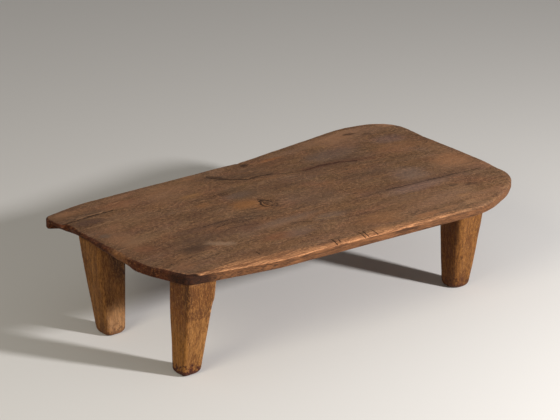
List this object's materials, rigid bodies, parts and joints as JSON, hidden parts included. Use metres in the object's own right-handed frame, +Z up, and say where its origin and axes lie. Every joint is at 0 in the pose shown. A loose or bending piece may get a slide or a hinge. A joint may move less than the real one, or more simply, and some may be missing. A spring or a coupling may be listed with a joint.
{
  "type": "bajot low table",
  "caption": "Low floor table: a wide, worn hardwood plank with a flared outline and rounded corners, standing on short, chunky, tapered legs let into its underside.",
  "frame": {"origin": "on the floor, under the middle of the table's bounding box", "axes": "+X along the plank from its narrow end to its flared end, +Y across the plank from its front edge to its back edge, +Z up"},
  "size_m": [1.0003, 0.5895, 0.225],
  "materials": {
    "top_wood": "old brown hardwood, oiled and worn, with dark grain, knots and a paler worn front edge",
    "leg_wood": "golden brown hardwood with fine grain along the leg and dark, stained feet",
    "wedge_wood": "plain split hardwood, unfinished"
  },
  "bodies": {
    "root": {"top_board": "top_wood", "front_left_leg": "leg_wood", "back_left_leg": "leg_wood", "front_right_leg": "leg_wood", "back_right_leg": "leg_wood", "front_left_wedge": "wedge_wood", "back_left_wedge": "wedge_wood", "front_right_wedge": "wedge_wood", "back_right_wedge": "wedge_wood"}
  },
  "joints": []
}
